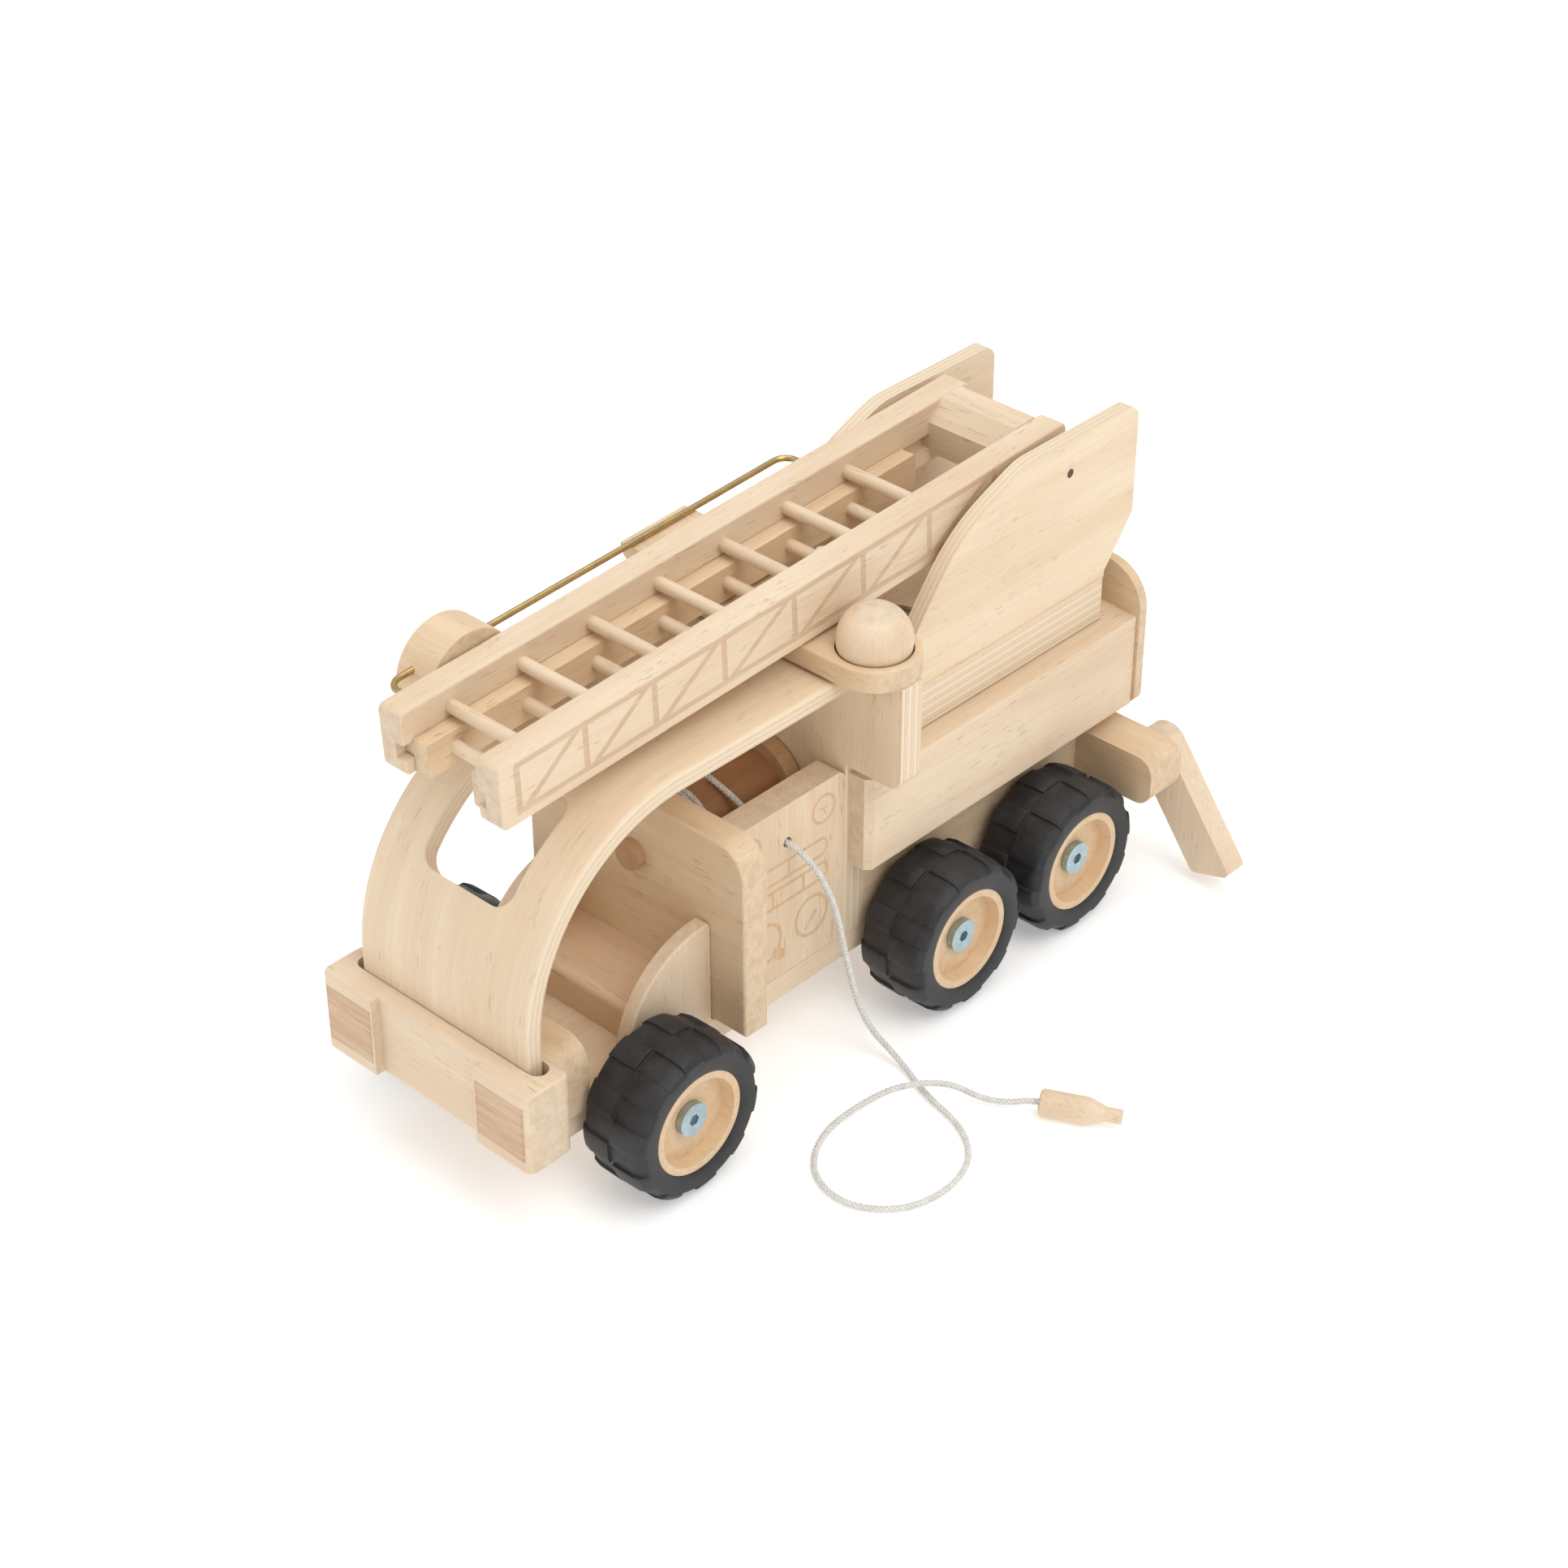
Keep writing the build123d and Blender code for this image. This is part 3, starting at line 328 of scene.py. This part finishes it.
def engraved_panel():
    """Side panel with burnt gauges and pipes."""
    finish = Finish("engraved_panel")
    wood = wood_colour(finish, "Z", shift=(0.7, 5.2, 0.3))
    across, up = finish.y, finish.z
    wide = 1.5 * MM
    lines = finish.ring(across, up, (-9.5 * MM, 120.8 * MM), 7.0 * MM, wide)
    lines = lines.most(finish.ring(across, up, (-17.2 * MM, 66.6 * MM), 10.2 * MM, 1.7 * MM))
    lines = lines.most(finish.ring(across, up, (-47.5 * MM, 66.0 * MM), 10.3 * MM, 1.9 * MM))
    lines = lines.most(finish.ring(across, up, (-56.0 * MM, 121.5 * MM), 5.7 * MM, wide))
    marks = [
        ((-12.0, 121.6), (-9.6, 121.0), 0.8), ((-9.6, 121.0), (-8.8, 118.6), 1.0),
        ((-9.6, 121.0), (-7.6, 121.6), 0.8),
        ((-21.0, 60.8), (-15.6, 66.6), 1.2), ((-15.3, 67.0), (-15.1, 67.3), 3.0),
        ((-67.0, 105.7), (-11.5, 105.2), wide / MM), ((-67.0, 96.8), (-11.5, 96.4), wide / MM),
        ((-67.0, 92.7), (-11.0, 92.0), wide / MM), ((-67.0, 83.6), (-11.0, 83.4), wide / MM),
        ((-32.2, 105.4), (-32.0, 97.0), wide / MM), ((-22.6, 91.6), (-22.4, 83.8), wide / MM),
        ((-42.2, 92.4), (-42.0, 83.8), wide / MM), ((-40.4, 58.6), (-37.2, 55.6), 5.6),
    ]
    for start, end, width in marks:
        lines = lines.most(finish.stroke(across, up, tuple(v * MM for v in start), tuple(v * MM for v in end),
                                         width * MM))
    behind = across.ramp(-11.6 * MM, -11.3 * MM)
    for middle in (100.8, 87.7):
        arc = finish.ring(across, up, (-11.4 * MM, middle * MM), 4.4 * MM, wide)
        lines = lines.most(arc * behind)
    fibres = finish.noise((300, 900, 25), 2, 0.6).ramp(0.35, 0.65)
    outer = finish.facing[0].ramp(0.7, 0.95)
    lines = lines * outer * (0.45 + fibres * 0.45)
    finish.set(Base_Color=finish.blend(lines, wood, (0.62, 0.37, 0.17)), Roughness=0.56)
    finish.bump(finish.grain_height - lines * 0.9, 0.00015)
    return finish.material


def bumper_wood():
    """Bumper with two burnt lamp fields on its front."""
    finish = Finish("bumper_wood")
    wood = wood_colour(finish, "X", shift=(1.3, 2.2, 4.1))
    side = abs(finish.x)
    field = side.ramp(32.4 * MM, 33.0 * MM) * side.ramp(62.0 * MM, 61.2 * MM)
    field = field * finish.z.ramp(49.8 * MM, 50.4 * MM) * finish.z.ramp(79.0 * MM, 78.4 * MM)
    field = field * finish.facing[1].ramp(-0.6, -0.85)
    streak = finish.noise((30, 300, 420), 2, 0.65, (2, 0, 1)).ramp(0.32, 0.68)
    rim = abs(side - lamp_field_middle).ramp(12.0 * MM, 14.6 * MM)
    field = field * (0.38 + streak * 0.32 + rim * 0.15)
    finish.set(Base_Color=finish.blend(field, wood, (0.47, 0.25, 0.115)), Roughness=0.56)
    finish.bump(finish.grain_height, 0.00012)
    return finish.material


def make_rubber():
    finish = Finish("tyre_rubber")
    dust = finish.noise((90, 90, 90), 4, 0.65).ramp(0.35, 0.75)
    grit = finish.noise((1500, 1500, 1500), 2, 0.5)
    finish.set(Base_Color=finish.blend(dust, (0.017, 0.017, 0.019), (0.034, 0.033, 0.034)),
               Roughness=0.46 + dust * 0.14, Specular_IOR_Level=0.42)
    finish.bump(grit, 0.00006)
    return finish.material


def make_metal(name, base, second, roughness):
    finish = Finish(name)
    haze = finish.noise((240, 240, 240), 3, 0.6).ramp(0.3, 0.7)
    finish.set(Base_Color=finish.blend(haze, base, second), Metallic=1.0, Roughness=roughness + haze * 0.10)
    return finish.material


def make_cord_finish():
    finish = Finish("white_braid")
    soil = finish.noise((260, 260, 260), 2, 0.6).ramp(0.3, 0.75)
    thread = finish.noise((2600, 2600, 2600), 1, 0.5)
    finish.set(Base_Color=finish.blend(soil * 0.6, (0.80, 0.79, 0.76), (0.62, 0.60, 0.56)), Roughness=0.62)
    finish.bump(thread, 0.00008)
    return finish.material


woods = {axis: make_wood("wood_" + axis.lower(), axis, (0.3, 0.6, 0.1)) for axis in "XYZ"}
second_woods = {
    axis: make_wood("board_" + axis.lower(), axis, (4.3, 2.6, 5.1), (0.79, 0.62, 0.42), (0.63, 0.44, 0.265))
    for axis in "XYZ"
}
stained = make_wood("stained_wood", "Y", (1, 2, 3), (0.42, 0.215, 0.095), (0.27, 0.125, 0.055), 0.8, 0.6)
seat_wood = make_wood("seat_wood", "X", (7, 2, 1), (0.76, 0.575, 0.40), (0.66, 0.455, 0.29), 1.35)
flange_wood = make_wood("flange_wood", "Y", (2, 2, 3), (0.60, 0.38, 0.21), (0.46, 0.27, 0.14), 0.8, 0.8)
hub_wood = make_wood("hub_wood", "X", (6, 1, 2), (0.79, 0.585, 0.375), (0.68, 0.46, 0.265), 1.1, 0.85)
rubber = make_rubber()
zinc = make_metal("zinc", (0.42, 0.53, 0.57), (0.34, 0.45, 0.50), 0.26)
pin_steel = make_metal("pin_steel", (0.20, 0.13, 0.08), (0.12, 0.08, 0.05), 0.5)
brass = make_metal("brass", (0.62, 0.43, 0.17), (0.42, 0.33, 0.18), 0.24)
cord_finish = make_cord_finish()
roof_ply = make_plywood("roof_plywood", "YZ", roof_depth, lambda f: abs(f.facing[0]).ramp(0.35, 0.75), 3.5)
cheek_ply = make_plywood("cheek_plywood", "Y", lambda f: (abs(f.x) - cheek_inner) / cheek_thickness,
                         lambda f: abs(f.facing[0]).ramp(0.7, 0.4), 3.0, (1.1, 0.2, 0.5))
base_ply = make_plywood("base_plywood", "Y", lambda f: (f.z - turret_base_bottom) / turret_base_thickness,
                        lambda f: abs(f.facing[2]).ramp(0.7, 0.4), 5.0, (2.1, 0.2, 0.5))
bulkhead_ply = make_plywood("bulkhead_plywood", "Z", lambda f: (f.y - bulkhead_front) / bulkhead_thickness,
                            lambda f: abs(f.facing[1]).ramp(0.7, 0.4), 3.0, (5.1, 1.2, 0.5))

node_finish = {
    "chassis": woods["Y"], "bumper": bumper_wood(), "front_beam": second_woods["X"], "cab_roof": roof_ply,
    "cab_wall": second_woods["X"], "seat": seat_wood, "bulkhead": bulkhead_ply, "light_bar": second_woods["X"],
    "lamp": woods["Z"], "fender_left": woods["Z"], "fender_right": woods["Z"], "panel_left": engraved_panel(),
    "panel_right": woods["Z"], "plank_left": woods["Y"], "plank_right": woods["Y"],
    "frame_board_left": second_woods["Y"], "frame_board_right": second_woods["Y"], "deck": woods["Y"],
    "rear_plate": second_woods["X"], "turret_base": base_ply, "turret_side_left": cheek_ply,
    "turret_side_right": cheek_ply, "ladder_pin": pin_steel, "pivot_bolt": zinc,
    "ladder_rail_left": engraved_rail(),
    "ladder_rail_right": woods["Y"], "ladder_rungs": woods["X"], "ladder_end_block": woods["X"],
    "slide_rail_left": second_woods["Y"], "slide_rail_right": second_woods["Y"], "slide_rungs": woods["X"],
    "wire_rail": brass, "wire_rest": second_woods["X"], "wire_block": second_woods["X"],
    "outrigger_beam": second_woods["X"], "outrigger_leg_left": woods["Z"], "outrigger_leg_right": woods["Z"],
    "leg_pins": second_woods["Y"], "reel_axle": flange_wood, "reel_flange_front": flange_wood,
    "reel_flange_rear": flange_wood, "reel_drum": stained, "hose_nozzle": woods["X"], "wheel_bolts": zinc,
    "wheel_spacers": zinc,
}
for side in ("left", "right"):
    for axle in axles:
        node_finish[f"hub_{axle}_{side}"] = hub_wood


def paint(piece, material):
    """Give a piece one material."""
    piece.data.materials.clear()
    piece.data.materials.append(material)


for node, material in node_finish.items():
    piece = bpy.data.objects[node]
    for slot in piece.material_slots:
        slot.material = material


# ---------------------------------------------------------------- cords
hose_route = [
    (1.0, -36.0, 130.4), (17.0, -35.2, 126.0), (30.0, -33.2, 115.4), (58.0, -32.4, 114.0),
    (65.5, -22.0, 86.0), (68.0, -16.5, 50.0), (74.0, -11.5, 17.0), (93.0, -7.0, 1.8),
    (117.0, -17.5, 1.8), (141.0, -22.0, 1.8), (160.0, -35.5, 1.8), (166.5, -59.0, 1.8),
    (159.5, -83.5, 1.8), (137.5, -97.5, 1.8), (113.0, -90.0, 1.8), (100.0, -66.5, 1.8),
    (101.5, -41.0, 3.6), (109.5, -25.5, 8.4), (123.5, -9.5, 8.4), (138.5, -3.5, 3.2),
    (149.5, 3.5, 3.2), (156.5, 7.4, 6.4), (163.5, 10.9, 6.4),
]


def smooth_line(points):
    """Points along the smooth line that a route controls."""
    data = bpy.data.curves.new("route", "CURVE")
    data.dimensions = "3D"
    spline = data.splines.new("NURBS")
    spline.points.add(len(points) - 1)
    for point, place in zip(spline.points, points):
        point.co = (*(v * MM for v in place), 1.0)
    spline.order_u = 3
    spline.use_endpoint_u = True
    data.resolution_u = 24
    holder = bpy.data.objects.new("route", data)
    bpy.context.scene.collection.objects.link(holder)
    bpy.context.view_layer.update()
    mesh = bpy.data.meshes.new_from_object(holder.evaluated_get(bpy.context.evaluated_depsgraph_get()))
    line = [vertex.co.copy() for vertex in mesh.vertices]
    bpy.data.objects.remove(holder)
    bpy.data.meshes.remove(mesh)
    return line


def even_steps(line, step):
    """The same line with points at even distances, and its length."""
    reach = [0.0]
    for before, after in zip(line, line[1:]):
        reach.append(reach[-1] + (after - before).length)
    count = max(2, round(reach[-1] / step))
    points = []
    spot = 0
    for number in range(count + 1):
        wanted = reach[-1] * number / count
        while spot < len(line) - 2 and reach[spot + 1] < wanted:
            spot += 1
        share = (wanted - reach[spot]) / (reach[spot + 1] - reach[spot])
        points.append(line[spot].lerp(line[spot + 1], share))
    return points, reach[-1]


def directions(points, closed):
    """A side and an up direction at each point that do not twist."""
    count = len(points)
    tangents = []
    for number in range(count):
        before = points[(number - 1) % count] if closed else points[max(number - 1, 0)]
        after = points[(number + 1) % count] if closed else points[min(number + 1, count - 1)]
        tangents.append((after - before).normalized())
    side = tangents[0].orthogonal().normalized()
    found = []
    for tangent in tangents:
        side = (side - tangent * side.dot(tangent)).normalized()
        found.append((side.copy(), tangent.cross(side)))
    return found


def braid(name, points, radius, closed=False, lay=9.0 * MM):
    """Eight flat yarns plaited over a core, along a line of points."""
    frames = directions(points, closed)
    step = (points[1] - points[0]).length
    length = step * (len(points) - (0 if closed else 1))
    turns = round(length / lay) if closed else length / lay
    vertices = []
    faces = []

    def tube(ring_at, sides):
        first = len(vertices)
        for number in range(len(points)):
            vertices.extend(ring_at(number))
        count = len(points) if closed else len(points) - 1
        for number in range(count):
            here = first + number * sides
            there = first + (number + 1) % len(points) * sides
            for corner in range(sides):
                beside = (corner + 1) % sides
                faces.append((here + corner, here + beside, there + beside, there + corner))
        if not closed:
            faces.append(tuple(first + corner for corner in reversed(range(sides))))
            last = first + (len(points) - 1) * sides
            faces.append(tuple(last + corner for corner in range(sides)))

    def core(number):
        side, up = frames[number]
        return [points[number] + (side * math.cos(turn) + up * math.sin(turn)) * radius * 0.62
                for turn in (2 * math.pi * corner / 8 for corner in range(8))]

    def yarn(way, start):
        def ring(number):
            turn = 2 * math.pi * turns * step * number / length
            angle = way * turn + start
            side, up = frames[number]
            out = side * math.cos(angle) + up * math.sin(angle)
            around = up * math.cos(angle) - side * math.sin(angle)
            middle = points[number] + out * radius * (0.68 + way * 0.13 * math.cos(4 * turn))
            shape = ((0.38, 0.0), (0.2, 0.19), (-0.2, 0.19), (-0.38, 0.0), (-0.2, -0.16), (0.2, -0.16))
            return [middle + around * a * radius + out * b * radius for a, b in shape]
        return ring

    tube(core, 8)
    for way in (1, -1):
        for yarn_number in range(4):
            tube(yarn(way, math.pi / 2 * yarn_number), 6)
    mesh = bpy.data.meshes.new(name)
    mesh.from_pydata(vertices, [], faces)
    mesh.update()
    mesh.polygons.foreach_set("use_smooth", [True] * len(mesh.polygons))
    piece = bpy.data.objects.new(name, mesh)
    bpy.context.scene.collection.objects.link(piece)
    paint(piece, cord_finish)
    return piece


def circle_points(centre, first, second, radius, count):
    return [centre + (first * math.cos(turn) + second * math.sin(turn)) * radius
            for turn in (2 * math.pi * number / count for number in range(count))]


hose_points, hose_length = even_steps(smooth_line(hose_route), braid_step)
hose = braid("hose_braid", hose_points, cord_radius)
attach(hose, "vehicle")
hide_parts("hose")

turn_pieces = []
for number, place in enumerate(reel_turn_places):
    ring = circle_points(Vector((0, place * MM, reel_height)), Vector((1, 0, 0)), Vector((0, 0, 1)),
                         reel_turn_radius, 148)
    turn_pieces.append(braid(f"hose_turn_{number + 1}", ring, cord_radius, closed=True))
for piece in turn_pieces:
    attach(piece, "reel")
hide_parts("hose_turns")

ladder_way = Vector((0, math.cos(ladder_slope), math.sin(ladder_slope)))
ladder_up = Vector((0, -math.sin(ladder_slope), math.cos(ladder_slope)))
slide_start = (-182.4 + 160.5) * MM / math.cos(ladder_slope)
rung_start = ladder_foot + ladder_way * (slide_start + 15.7 * MM) - ladder_up * 13.25 * MM
cord_low = rung_start - ladder_up * 5.6 * MM
pull_points, _ = even_steps([cord_low, cord_low + ladder_way * 0.24], braid_step)
pull_line = braid("pull_cord_braid", pull_points, pull_cord_radius)
loop_centre = rung_start + ladder_way * 0.20 + Vector((4.0 * MM, 0, 0))
loop_points = circle_points(loop_centre, ladder_way, ladder_up, 4.75 * MM, 40)
pull_loop = braid("pull_cord_loop", loop_points, pull_cord_radius, closed=True, lay=7.5 * MM)
for piece in (pull_line, pull_loop):
    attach(piece, "slide_ladder")
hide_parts("pull_cord")


# ---------------------------------------------------------------- tyres
def select_faces(piece, wanted):
    """Select the faces whose centre and normal pass a test, in edit mode."""
    bpy.ops.object.mode_set(mode="OBJECT")
    for face in piece.data.polygons:
        face.select = bool(wanted(face.center, face.normal))
    for edge in piece.data.edges:
        edge.select = False
    for vertex in piece.data.vertices:
        vertex.select = False
    bpy.ops.object.mode_set(mode="EDIT")
    bpy.ops.mesh.select_mode(type="FACE")


def make_first_tyre():
    """Tyre round the X axis at the origin: two staggered rows of tread blocks with a seam between."""
    bpy.ops.object.select_all(action="DESELECT")
    cells = 20
    low = tyre_radius - tread_height
    half = tyre_width / 2
    bpy.ops.mesh.primitive_cylinder_add(vertices=cells * 4, radius=low, depth=tyre_width,
                                        end_fill_type="NOTHING", rotation=(0, math.pi / 2, 0))
    tyre = bpy.context.active_object
    bpy.ops.object.transform_apply(location=True, rotation=True, scale=True)
    bpy.ops.object.mode_set(mode="EDIT")
    bpy.ops.mesh.select_mode(type="VERT")
    for place in (-15.6, -12.0, -0.5, 0.5, 12.0, 15.6):
        bpy.ops.mesh.select_all(action="SELECT")
        bpy.ops.mesh.bisect(plane_co=(place * MM, 0, 0), plane_no=(1, 0, 0))
    bpy.ops.object.mode_set(mode="OBJECT")
    steps = {12.0: 0.996, 15.6: 0.972, 18.5: 0.905}
    for vertex in tyre.data.vertices:
        place = abs(vertex.co.x) / MM
        for at, scale in steps.items():
            if abs(place - at) < 0.2:
                vertex.co.y *= scale
                vertex.co.z *= scale
    bpy.ops.object.mode_set(mode="EDIT")
    bpy.ops.mesh.select_mode(type="EDGE")
    for side in (-1, 1):
        radius = low * 0.905
        for target, move in ((30.6 * MM, 0.0), (27.4 * MM, -0.25 * MM), (hub_radius, -0.9 * MM)):
            bpy.ops.object.mode_set(mode="OBJECT")
            for face in tyre.data.polygons:
                face.select = False
            for vertex in tyre.data.vertices:
                vertex.select = False
            for edge in tyre.data.edges:
                ends = [tyre.data.vertices[index].co for index in edge.vertices]
                edge.select = all(
                    (end.x * side > half - 1.2 * MM) and abs(math.hypot(end.y, end.z) - radius) < 0.35 * MM
                    for end in ends)
            bpy.ops.object.mode_set(mode="EDIT")
            bpy.ops.mesh.extrude_edges_move(TRANSFORM_OT_translate={"value": (side * move, 0, 0)})
            ratio = target / radius
            bpy.ops.transform.resize(value=(1, ratio, ratio), center_override=(0, 0, 0))
            radius = target
    bpy.ops.mesh.select_all(action="DESELECT")
    bpy.ops.mesh.select_non_manifold()
    bpy.ops.mesh.bridge_edge_loops()
    bpy.ops.mesh.select_all(action="SELECT")
    bpy.ops.mesh.normals_make_consistent(inside=False)

    def raised(centre, normal):
        if math.hypot(centre.y, centre.z) < 0.88 * low or abs(centre.x) < 0.45 * MM:
            return False
        cell = int((math.atan2(centre.z, centre.y) + math.pi) / (2 * math.pi) * cells)
        return (cell % 2 == 0) == (centre.x > 0)

    select_faces(tyre, raised)
    bpy.ops.mesh.extrude_region_shrink_fatten(TRANSFORM_OT_shrink_fatten={"value": tread_height})
    bpy.ops.object.mode_set(mode="OBJECT")
    for vertex in tyre.data.vertices:
        reach = math.hypot(vertex.co.y, vertex.co.z)
        if reach > tyre_radius:
            vertex.co.y *= tyre_radius / reach
            vertex.co.z *= tyre_radius / reach
        vertex.co.x = max(-half, min(half, vertex.co.x))
    bevel = tyre.modifiers.new("edges", "BEVEL")
    bevel.width = 0.45 * MM
    bevel.segments = 2
    bevel.limit_method = "ANGLE"
    bevel.angle_limit = math.radians(32)
    bevel.use_clamp_overlap = True
    bpy.ops.object.modifier_apply(modifier=bevel.name)
    bpy.ops.object.shade_smooth_by_angle(angle=math.radians(38))
    return tyre


first_tyre = make_first_tyre()
for side, sign in (("left", 1), ("right", -1)):
    for axle, place in axles.items():
        tyre = first_tyre.copy()
        tyre.data = first_tyre.data.copy()
        tyre.name = f"tread_{axle}_{side}"
        turn = Matrix.Rotation(0.11 + 3.7 * place, 4, "X")
        if sign < 0:
            turn = turn @ Matrix.Rotation(math.pi, 4, "Z")
        tyre.data.transform(Matrix.Translation((sign * wheel_x, place, axle_z)) @ turn)
        bpy.context.scene.collection.objects.link(tyre)
        paint(tyre, rubber)
        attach(tyre, f"wheel_{axle}_{side}")
        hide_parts(f"tyre_{axle}_{side}")
bpy.data.objects.remove(first_tyre)


# ---------------------------------------------------------------- floor and light
def make_floor():
    bpy.ops.object.select_all(action="DESELECT")
    bpy.ops.mesh.primitive_plane_add(size=14.0, location=(0, 0, -0.0004))
    floor = bpy.context.active_object
    floor.name = "floor"
    finish = Finish("pale_floor")
    finish.set(Base_Color=(0.90, 0.90, 0.90, 1), Roughness=0.9, Specular_IOR_Level=0.1,
               Emission_Color=(1, 1, 1, 1), Emission_Strength=0.30)
    paint(floor, finish.material)


def add_light(name, place, target, size, power, tint=(1, 1, 1)):
    data = bpy.data.lights.new(name, "AREA")
    data.shape = "DISK"
    data.size = size
    data.energy = power
    data.color = tint
    lamp = bpy.data.objects.new(name, data)
    bpy.context.scene.collection.objects.link(lamp)
    lamp.location = place
    lamp.rotation_euler = (Vector(place) - Vector(target)).to_track_quat("Z", "Y").to_euler()


make_floor()
add_light("key", (1.5, -0.2, 2.2), (0, 0, 0.1), 1.9, 24, (1.0, 0.985, 0.96))
add_light("fill", (-1.3, -2.0, 1.6), (0, 0, 0.1), 2.2, 7, (1.0, 0.99, 0.98))
add_light("top", (-0.3, 0.3, 2.6), (0, 0, 0.1), 2.4, 19)
world = bpy.data.worlds.new("studio")
world.use_nodes = True
world.node_tree.nodes["Background"].inputs[0].default_value = (1, 1, 1, 1)
world.node_tree.nodes["Background"].inputs[1].default_value = 0.66
bpy.context.scene.world = world
bpy.context.scene.view_settings.view_transform = "Standard"
